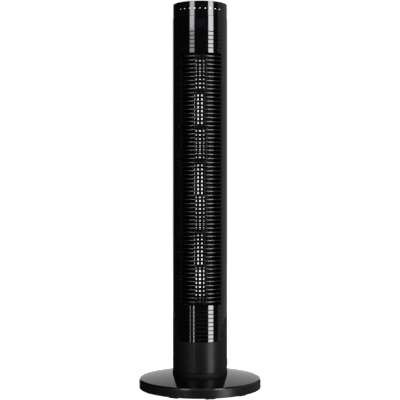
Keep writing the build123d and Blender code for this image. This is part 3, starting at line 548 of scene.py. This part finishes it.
def combine(bm, *steps):
    """Cut, join or keep a bmesh with others; each step is an operation and the other solid."""
    thing = loose_object(bm)
    for operation, other in steps:
        tool = loose_object(other)
        change = thing.modifiers.new("change", "BOOLEAN")
        change.operation = operation
        change.solver = "EXACT"
        change.object = tool
        bake(thing)
        mesh = tool.data
        bpy.data.objects.remove(tool)
        bpy.data.meshes.remove(mesh)
    result = bmesh.new()
    result.from_mesh(thing.data)
    mesh = thing.data
    bpy.data.objects.remove(thing)
    bpy.data.meshes.remove(mesh)
    return result


def piece(name, bm, body, slot, looks=None, stands_for=(), edge=0.0, edge_steps=2, sharp=38):
    """Turn a bmesh into a finished piece that rides on a body."""
    bmesh.ops.remove_doubles(bm, verts=bm.verts, dist=0.002 * MM)
    thing = loose_object(bm, name)
    mesh = thing.data
    for look in looks or [LOOKS[slot]]:
        mesh.materials.append(look)
    if edge:
        soften = thing.modifiers.new("soften", "BEVEL")
        soften.limit_method = "ANGLE"
        soften.angle_limit = math.radians(sharp)
        soften.width = edge
        soften.segments = edge_steps
        bake(thing)
    mesh = thing.data
    mesh.shade_smooth()
    mesh.set_sharp_from_angle(angle=math.radians(60))
    even = thing.modifiers.new("even", "WEIGHTED_NORMAL")
    even.keep_sharp = True
    bake(thing)
    thing.data.name = name
    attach(thing, body)
    if stands_for:
        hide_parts(*stands_for)
    return thing


# ---- Base ---------------------------------------------------------------------------------------
BASE_RADIUS = high("base_cover", 0)
BASE_EDGE = 21.0 * MM
BASE_LAND_RADIUS = 57.0 * MM
BASE_CROWN = 1.2 * MM
BASE_SHOULDER = 5.0 * MM
BASE_BORE = 9.0 * MM
COLLAR_SEAT = 49.0 * MM
COLLAR_BORE = 30.0 * MM
WASHER_RECESS = 0.8 * MM


def base_outline(inset):
    """The domed top from the rim inwards, as a list of points."""
    land = low("base_collar", 2)
    rim, inner = Vector((BASE_RADIUS, BASE_EDGE)), Vector((BASE_LAND_RADIUS, land))
    dome = arc_through(rim, (rim + inner) / 2 + Vector((0, BASE_CROWN)), inner, 14)
    shift = Vector((-inset, -inset))
    return [point + shift for point in (rim, *dome, inner)]


def make_base():
    """The domed cover, satin on its rim and gloss on top, and the collar ring."""
    skirt = low("base_cover", 2)
    outer = base_outline(0)
    inner = base_outline(WALL)
    outline = [(BASE_RADIUS, skirt, 0.5 * MM), (BASE_RADIUS, BASE_EDGE, BASE_SHOULDER)]
    outline += [(p.x, p.y, 0) for p in outer[2:]]
    outline += [(BASE_BORE, outer[-1].y, 0), (BASE_BORE, inner[-1].y, 0)]
    outline += [(p.x, p.y, 0) for p in inner[:1:-1]]
    inside = BASE_RADIUS - WALL
    outline += [(inside, BASE_EDGE - WALL, 1.5 * MM), (inside, skirt, 0.5 * MM)]
    bm = swept(rounded(outline, 0, steps=8))
    gloss_reach, gloss_level = BASE_RADIUS - 0.6 * MM, BASE_EDGE - 2.2 * MM
    for face in bm.faces:
        middle = face.calc_center_median()
        if math.hypot(middle.x, middle.y) < gloss_reach and middle.z > gloss_level:
            face.material_index = 1
    piece("base_cover_shell", bm, "base", "base_gloss", [RIM_SATIN, LOOKS["base_gloss"]], ["base_cover"])

    bottom, top = low("base_collar", 2), high("base_collar", 2)
    ring = high("base_collar", 0)
    recess = top - WASHER_RECESS
    outline = [(ring, bottom, 0.2 * MM), (ring, top, 0.6 * MM), (COLLAR_SEAT, top, 0.2 * MM),
               (COLLAR_SEAT, recess, 0), (COLLAR_BORE, recess, 0), (COLLAR_BORE, bottom, 0)]
    piece("base_collar_ring", swept(rounded(outline, 0)), "base", "collar", stands_for=["base_collar"])


# ---- Column shells ------------------------------------------------------------------------------
def panel_outline(margin):
    """The front panel's outline from the front: upright sides that flare out to the full column."""
    half = PANEL_HALF_WIDTH + margin
    wide = COLUMN_RADIUS + 10 * MM
    slope = (COLUMN_RADIUS - PANEL_HALF_WIDTH) / FLARE_HEIGHT
    far_top = FLARE_BOTTOM + FLARE_HEIGHT + (wide - COLUMN_RADIUS) / slope
    right = [(half, PANEL_BOTTOM - margin, 0), (half, FLARE_BOTTOM, FLARE_BLEND),
             (wide + margin, far_top, 0), (wide + margin, SHELL_TOP + 10 * MM, 0)]
    left = [(-x, z, bend) for x, z, bend in right[::-1]]
    return rounded(right + left, 0, steps=6)


def panel_prism(margin):
    """The solid space that the front panel takes up, grown by a margin."""
    front = -COLUMN_RADIUS - 20 * MM
    return prism(panel_outline(margin), front, margin - SEAM / 2)


def groove_levels():
    """The heights of the closed ribs, each marked by a groove."""
    closed = [*range(CLOSED_BELOW), *range(TOP_RIB - CLOSED_ABOVE + 1, TOP_RIB + 1)]
    return [rib_level(index) for index in closed]


def make_front_panel():
    """The polished front: grooved bands below and above, side fields, and the window opening."""
    grooves = groove_levels()
    lower_edge = OPEN_BOTTOM + RIB_THICKNESS / 2
    upper_edge = OPEN_TOP - RIB_THICKNESS / 2
    window_low = low("display_window", 2) - FIT_GAP
    window_high = high("display_window", 2) + FIT_GAP
    window_half = math.degrees(math.asin(WINDOW_HALF_WIDTH / COLUMN_RADIUS))
    half_turn = 89.0
    stops = [-half_turn, half_turn]
    for angle in (window_half, SLOT_END, RAIL_END):
        stops += [-angle, angle]
    angles = divided(stops, GRID_STEP)
    marks = [PANEL_BOTTOM, lower_edge, upper_edge, window_low, window_high, SHELL_TOP]
    for level in grooves:
        marks += [level - GROOVE_WIDTH / 2, level, level + GROOVE_WIDTH / 2]
    levels = divided(marks, 24 * MM)

    def outer(angle, level):
        side = abs(angle)
        if lower_edge < level < upper_edge:
            if side < SLOT_END:
                return None
            return COLUMN_RADIUS - RAIL_STEP if side < RAIL_END else COLUMN_RADIUS
        if window_low < level < window_high and side < window_half:
            return None
        return COLUMN_RADIUS

    sheet = relief_sheet(angles, levels, COLUMN_INNER, outer)
    for vertex in sheet.verts:
        x, y, z = vertex.co
        angle = math.degrees(math.atan2(x, -y))
        on_face = math.hypot(x, y) > COLUMN_RADIUS - CLOSE
        in_groove = any(abs(z - groove) < CLOSE for groove in grooves)
        if on_face and in_groove and abs(angle) < RAIL_END - 0.1:
            vertex.co = around(COLUMN_RADIUS - GROOVE_DEPTH, angle, z)
    panel = combine(sheet, ("INTERSECT", panel_prism(0)))
    piece("front_panel_shell", panel, "column", "panel_gloss", stands_for=["front_panel"],
          edge=0.16 * MM)


def make_outlet_ribs():
    """Sixty-one rounded ribs between the rails."""
    nose, back = COLUMN_RADIUS, COLUMN_RADIUS - RIB_DEPTH
    half = RIB_THICKNESS / 2
    nose_bend = 0.97 * half
    back_half, back_bend = 0.8 * half, 0.3 * MM
    bm = bmesh.new()
    for index in range(CLOSED_BELOW + 1, CLOSED_BELOW + OPEN_SLOTS):
        level = rib_level(index)
        outline = [(nose, level - half, nose_bend), (nose, level + half, nose_bend),
                   (back, level + back_half, back_bend), (back, level - back_half, back_bend)]
        swept(rounded(outline, 0, steps=6), -SLOT_END - 0.4, SLOT_END + 0.4, 2.0, bm)
    piece("outlet_ribs", bm, "column", "panel_gloss", [RIB_GLOSS], ["outlet_grille"])


def make_lower_housing():
    """Satin drum under the panel, with the lip that the shells sit on and the cord opening."""
    gland_low = low("cord_gland", 2) - FIT_GAP
    gland_high = high("cord_gland", 2) + FIT_GAP
    gland_ends = (GLAND_ANGLE - GLAND_HALF_ANGLE, GLAND_ANGLE + GLAND_HALF_ANGLE)
    notch_half = math.degrees(math.asin((PANEL_HALF_WIDTH + SEAM) / COLUMN_RADIUS))
    notch_low = PANEL_BOTTOM - SEAM
    stops = [-180, 180, -notch_half, notch_half, *gland_ends]
    marks = [HOUSING_BOTTOM, gland_low, gland_high, notch_low, HOUSING_TOP, LIP_TOP]

    def outer(angle, level):
        if gland_ends[0] < angle < gland_ends[1] and gland_low < level < gland_high:
            return None
        if level > HOUSING_TOP or (level > notch_low and abs(angle) < notch_half):
            return LIP_RADIUS
        return COLUMN_RADIUS

    sheet = relief_sheet(divided(stops, GRID_STEP), divided(marks, 20 * MM), LIP_RADIUS - WALL, outer)
    floor_top = HOUSING_BOTTOM + FLOOR_THICKNESS
    floor_edge = LIP_RADIUS - WALL / 2
    ring = [(FLOOR_BORE, HOUSING_BOTTOM), (floor_edge, HOUSING_BOTTOM),
            (floor_edge, floor_top), (FLOOR_BORE, floor_top)]
    drum = combine(sheet, ("UNION", swept([Vector(point) for point in ring])))
    piece("lower_housing_shell", drum, "column", "housing_satin", stands_for=["lower_housing"],
          edge=0.4 * MM, edge_steps=3)


def rear_sheet(bottom, top, opening, marks):
    """A stretch of the round shell wall; opening gives its outer radius, as in relief_sheet."""
    stops = [0, 360, 180 - INTAKE_END - 0.2, 180 + INTAKE_END + 0.2]
    levels = divided([bottom, top, *marks], 24 * MM)
    return relief_sheet(divided(stops, GRID_STEP), levels, COLUMN_INNER, opening)


def boss_steps(levels):
    """The screw bosses of the rear shell, each with its stepped hole."""
    steps = []
    inside, outside = 30 * MM, COLUMN_RADIUS - 1 * MM
    for level in levels:
        for side in (-1, 1):
            x, z = side * BOSS_X, rib_level(level)
            core = swept([Vector(point) for point in (
                (inside, z - BOSS_HALF_TALL), (outside, z - BOSS_HALF_TALL),
                (outside, z + BOSS_HALF_TALL), (inside, z + BOSS_HALF_TALL))])
            boss = combine(rod(BOSS_RADIUS, (x, SEAM / 2, z), (x, COLUMN_RADIUS, z)), ("INTERSECT", core))
            steps.append(("UNION", boss))
            steps.append(("DIFFERENCE", rod(HEAD_HOLE, (x, SCREW_SEAT, z), (x, COLUMN_RADIUS, z))))
    return steps


def make_rear_shells():
    """The satin back in two pieces: the long intake part and the head with its grip opening."""
    window = (INTAKE_BOTTOM - FIT_GAP, INTAKE_TOP + FIT_GAP)

    def lower_wall(angle, level):
        if abs(angle - 180) < INTAKE_END + 0.2 and window[0] < level < window[1]:
            return None
        return COLUMN_RADIUS

    sheet = rear_sheet(HOUSING_TOP + SEAM, REAR_TOP, lower_wall, window)
    back = combine(sheet, ("DIFFERENCE", panel_prism(SEAM)), *boss_steps(BOSS_LEVELS[:-1]))
    piece("rear_shell_wall", back, "column", "shell_satin", stands_for=["rear_shell"], edge=0.3 * MM)

    sheet = rear_sheet(HEAD_BOTTOM, SHELL_TOP, lambda angle, level: COLUMN_RADIUS, ())
    lap = 2 * MM
    grip_low, grip_high = low("grip_cup", 2) + lap, high("grip_cup", 2) - lap
    half = high("grip_cup", 0) - lap
    hole = [(-half, grip_low), (half, grip_low), (half, grip_high), (-half, grip_high)]
    opening = prism(rounded(hole, 8 * MM, steps=8), 10 * MM, COLUMN_RADIUS + 10 * MM)
    steps = [("DIFFERENCE", panel_prism(SEAM)), ("DIFFERENCE", opening), *boss_steps(BOSS_LEVELS[-1:])]
    head = combine(sheet, *steps)
    piece("rear_head_wall", head, "column", "shell_satin", stands_for=["rear_head_shell"], edge=0.5 * MM,
          edge_steps=3)


def make_intake_grille():
    """The slotted back field with two recessed upright bars."""
    ribs = [rib_level(CLOSED_BELOW + step) for step in range(1, OPEN_SLOTS)]
    half = (RIB_PITCH - INTAKE_SLOT) / 2
    lowest, highest = OPEN_BOTTOM + half, OPEN_TOP - half
    stops = [180 - INTAKE_END, 180 - INTAKE_SLOT_END, 180 + INTAKE_SLOT_END, 180 + INTAKE_END]
    for side in (-1, 1):
        middle = 180 + side * INTAKE_BAR_ANGLE
        stops += [middle - INTAKE_BAR_HALF, middle + INTAKE_BAR_HALF]
    bar_face = COLUMN_INNER + 1.2 * MM
    marks = [INTAKE_BOTTOM, INTAKE_TOP, lowest, highest]
    for level in ribs:
        marks += [level - half, level + half]

    def outer(angle, level):
        side = abs(angle - 180)
        if side > INTAKE_SLOT_END:
            return COLUMN_RADIUS - RAIL_STEP
        if level < lowest or level > highest or any(abs(level - rib) < half for rib in ribs):
            return COLUMN_RADIUS
        return bar_face if abs(side - INTAKE_BAR_ANGLE) < INTAKE_BAR_HALF else None

    sheet = relief_sheet(divided(stops, 2.2), divided(marks, 8 * MM), COLUMN_INNER, outer)
    piece("intake_grille_field", sheet, "column", "shell_satin", stands_for=["intake_grille"], edge=0.4 * MM)


# ---- Head ---------------------------------------------------------------------------------------
def make_display_window():
    """A curved smoked pane, flush with the panel."""
    window_half = math.degrees(math.asin((WINDOW_HALF_WIDTH - FIT_GAP) / COLUMN_RADIUS))
    bottom, top = low("display_window", 2), high("display_window", 2)
    outline = [(COLUMN_RADIUS, bottom, 0.25 * MM), (COLUMN_RADIUS, top, 0.25 * MM),
               (COLUMN_INNER + FIT_GAP, top, 0), (COLUMN_INNER + FIT_GAP, bottom, 0)]
    pane = swept(rounded(outline, 0), -window_half, window_half, 1.0)
    piece("display_pane", pane, "column", "window_smoked", stands_for=["display_window"])


def make_cap():
    """Polished cap ring with a rounded rim around the sunk control panel."""
    dish = CAP_RADIUS - 7 * MM
    ledge = dish - 6.5 * MM
    spigot = COLUMN_INNER - 0.3 * MM
    inside, spigot_inside = CAP_RADIUS - WALL, spigot - WALL
    step, spigot_foot = CAP_BOTTOM + 4 * MM, CAP_BOTTOM - 5 * MM
    rim = 1.2 * MM
    outline = [
        (CAP_RADIUS, CAP_BOTTOM, 0.3 * MM), (CAP_RADIUS, CAP_TOP, rim), (dish, CAP_TOP, rim),
        (dish, CONTROL_BOTTOM, 0), (ledge, CONTROL_BOTTOM, 0), (ledge, CONTROL_BOTTOM - WALL, 0),
        (dish + WALL, CONTROL_BOTTOM - WALL, 0), (dish + WALL, CAP_TOP - WALL, 0),
        (inside, CAP_TOP - WALL, 0), (inside, step, 0),
        (spigot_inside, step, 0), (spigot_inside, spigot_foot, 0),
        (spigot, spigot_foot, 0), (spigot, CAP_BOTTOM, 0),
    ]
    piece("top_cap_ring", swept(rounded(outline, 0, steps=6)), "column", "cap_gloss",
          stands_for=["top_cap"])


def make_cap_marks():
    """Nine plain silver dashes in place of the lettering."""
    bm = bmesh.new()
    count = 9
    pitch, half_angle = 11.2, 1.2
    level, half_tall = CAP_BOTTOM + 14.0 * MM, 0.6 * MM
    face, root = CAP_RADIUS + 0.12 * MM, CAP_RADIUS - 0.1 * MM
    for place in range(count):
        middle = (place - (count - 1) / 2) * pitch
        outline = [(face, level - half_tall), (face, level + half_tall),
                   (root, level + half_tall), (root, level - half_tall)]
        swept([Vector(point) for point in outline], middle - half_angle, middle + half_angle, 0.6, bm)
    piece("cap_marks", bm, "column", "screw_steel", [SILVER])


def key_middle(name):
    """The middle of a key in plan."""
    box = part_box("key_" + name)
    return Vector(((box[0][0] + box[1][0]) / 2, (box[0][1] + box[1][1]) / 2, 0))


def make_control_panel():
    """The sunk panel with its five key holes."""
    outline = [(CONTROL_RADIUS, CONTROL_BOTTOM, 0.2 * MM), (CONTROL_RADIUS, CONTROL_TOP, 0.5 * MM),
               (0.5 * MM, CONTROL_TOP, 0), (0.5 * MM, CONTROL_BOTTOM, 0)]
    panel = swept(rounded(outline, 0))
    plug = rod(2 * MM, (0, 0, CONTROL_BOTTOM), (0, 0, CONTROL_TOP), 24)
    steps = [("UNION", plug)]
    bottom = Vector((0, 0, CONTROL_BOTTOM - 2 * MM))
    top = Vector((0, 0, CONTROL_TOP + 2 * MM))
    for name in KEYS:
        spot = key_middle(name)
        steps.append(("DIFFERENCE", rod(KEY_HOLE, spot + bottom, spot + top, 64)))
    piece("control_panel_plate", combine(panel, *steps), "column", "panel_gloss",
          stands_for=["control_panel"], edge=0.3 * MM)


def ring_strip(bm, centre, radius, width, start, end, level):
    """A thin raised arc for an icon."""
    steps = max(3, round((end - start) / 12))
    rows = []
    for place in range(steps + 1):
        turn = math.radians(start + (end - start) * place / steps)
        out = Vector((math.sin(turn), math.cos(turn), 0))
        rows.append([centre + out * (radius + side * width / 2) for side in (-1, 1)])
    strip_faces(bm, rows, level)


def bar_strip(bm, centre, start, end, width, level):
    """A thin raised straight stroke for an icon."""
    start, end = Vector((*start, 0)), Vector((*end, 0))
    side = (end - start).normalized().cross(Vector((0, 0, 1))) * width / 2
    rows = [[centre + point - side, centre + point + side] for point in (start, end)]
    strip_faces(bm, rows, level)


def strip_faces(bm, rows, level):
    """A closed thin band through rows of two points each."""
    thick = Vector((0, 0, 0.06 * MM))
    base = Vector((0, 0, level - 0.03 * MM))
    loops = [[bm.verts.new(p + base), bm.verts.new(q + base), bm.verts.new(q + base + thick),
              bm.verts.new(p + base + thick)] for p, q in rows]
    for here, following in zip(loops, loops[1:]):
        for spot in range(4):
            bm.faces.new((here[spot], here[(spot + 1) % 4], following[(spot + 1) % 4], following[spot]))
    bm.faces.new(loops[0][::-1])
    bm.faces.new(loops[-1])


def draw_icon(bm, name, spot, level):
    """Plain generic signs: power, speed bars, swing arrows, clock and wave."""
    line = 0.45 * MM
    r = 2.4 * MM
    if name == "power":
        ring_strip(bm, spot, r, line, 35, 325, level)
        bar_strip(bm, spot, (0, 0.6 * MM), (0, 3.0 * MM), line, level)
    elif name == "speed":
        for place, tall in enumerate((1.4, 2.8, 4.2)):
            x = (place - 1) * 1.5 * MM
            bar_strip(bm, spot, (x, -2.1 * MM), (x, (tall - 2.1) * MM), 2 * line, level)
    elif name == "swing":
        ring_strip(bm, spot, r, line, -60, 60, level)
        for side in (-1, 1):
            tip = (side * 2.1 * MM, 1.1 * MM)
            bar_strip(bm, spot, tip, (side * 2.9 * MM, 2.3 * MM), line, level)
            bar_strip(bm, spot, tip, (side * 0.9 * MM, 1.5 * MM), line, level)
        bar_strip(bm, spot, (0, -2.2 * MM), (0, 0.6 * MM), line, level)
    elif name == "timer":
        ring_strip(bm, spot, r, line, 0, 360, level)
        bar_strip(bm, spot, (0, 0), (0, 1.6 * MM), line, level)
        bar_strip(bm, spot, (0, 0), (1.2 * MM, 0), line, level)
    else:
        for row in (-1.2, 0, 1.2):
            for side in (-1, 1):
                ring_strip(bm, spot + Vector((side * 1.0 * MM, row * MM, 0)), 1.0 * MM, line,
                           -90 if side < 0 else 90, 90 if side < 0 else 270, level)


def make_keys():
    """Round push keys with a dished top and a printed sign."""
    for name in KEYS:
        node = "key_" + name
        spot = key_middle(name)
        bottom, top = low(node, 2), high(node, 2)
        flange_low, flange_high = bottom + 3.0 * MM, bottom + 4.7 * MM
        dish_part = 0.62
        outline = [(KEY_RADIUS, top, 0.8 * MM),
                   (KEY_RADIUS * dish_part, top - KEY_DISH * dish_part, 3 * MM),
                   (0.2 * MM, top - KEY_DISH, 0), (0.2 * MM, bottom, 0), (KEY_STEM, bottom, 0.3 * MM),
                   (KEY_STEM, flange_low, 0), (KEY_FLANGE, flange_low, 0.2 * MM),
                   (KEY_FLANGE, flange_high, 0.2 * MM), (KEY_RADIUS, flange_high, 0)]
        cap = swept(rounded(outline, 0, steps=5), step=7.5)
        bmesh.ops.translate(cap, verts=cap.verts, vec=spot)
        bmesh.ops.holes_fill(cap, edges=cap.edges, sides=0)
        piece(node + "_cap", cap, node, "key_satin", stands_for=[node])
        icon = bmesh.new()
        sign_level = top - KEY_DISH * 0.72
        draw_icon(icon, name, spot, sign_level)
        piece(node + "_sign", icon, node, "key_satin", [INK])


# ---- Carried-over nodes -------------------------------------------------------------------------
def finish_nodes():
    """Give every remaining CAD node its slot's material and smooth shading on its curved faces."""
    slots = {part["node"]: part["material_slot"] for part in frame["record"]["subparts"]}
    for name, node in frame["nodes"].items():
        node.data.materials.clear()
        node.data.materials.append(LOOKS[slots[name]])
        node.data.shade_smooth()
        node.data.set_sharp_from_angle(angle=math.radians(30))


make_camera()
make_world()
make_lights()
make_floor()
finish_nodes()
make_base()
make_lower_housing()
make_front_panel()
make_outlet_ribs()
make_rear_shells()
make_intake_grille()
make_display_window()
make_cap()
make_cap_marks()
make_control_panel()
make_keys()

rest, now = cad_box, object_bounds()
{"cad": [list(rest[0]), list(rest[1])], "visual": [list(now[0]), list(now[1])]}
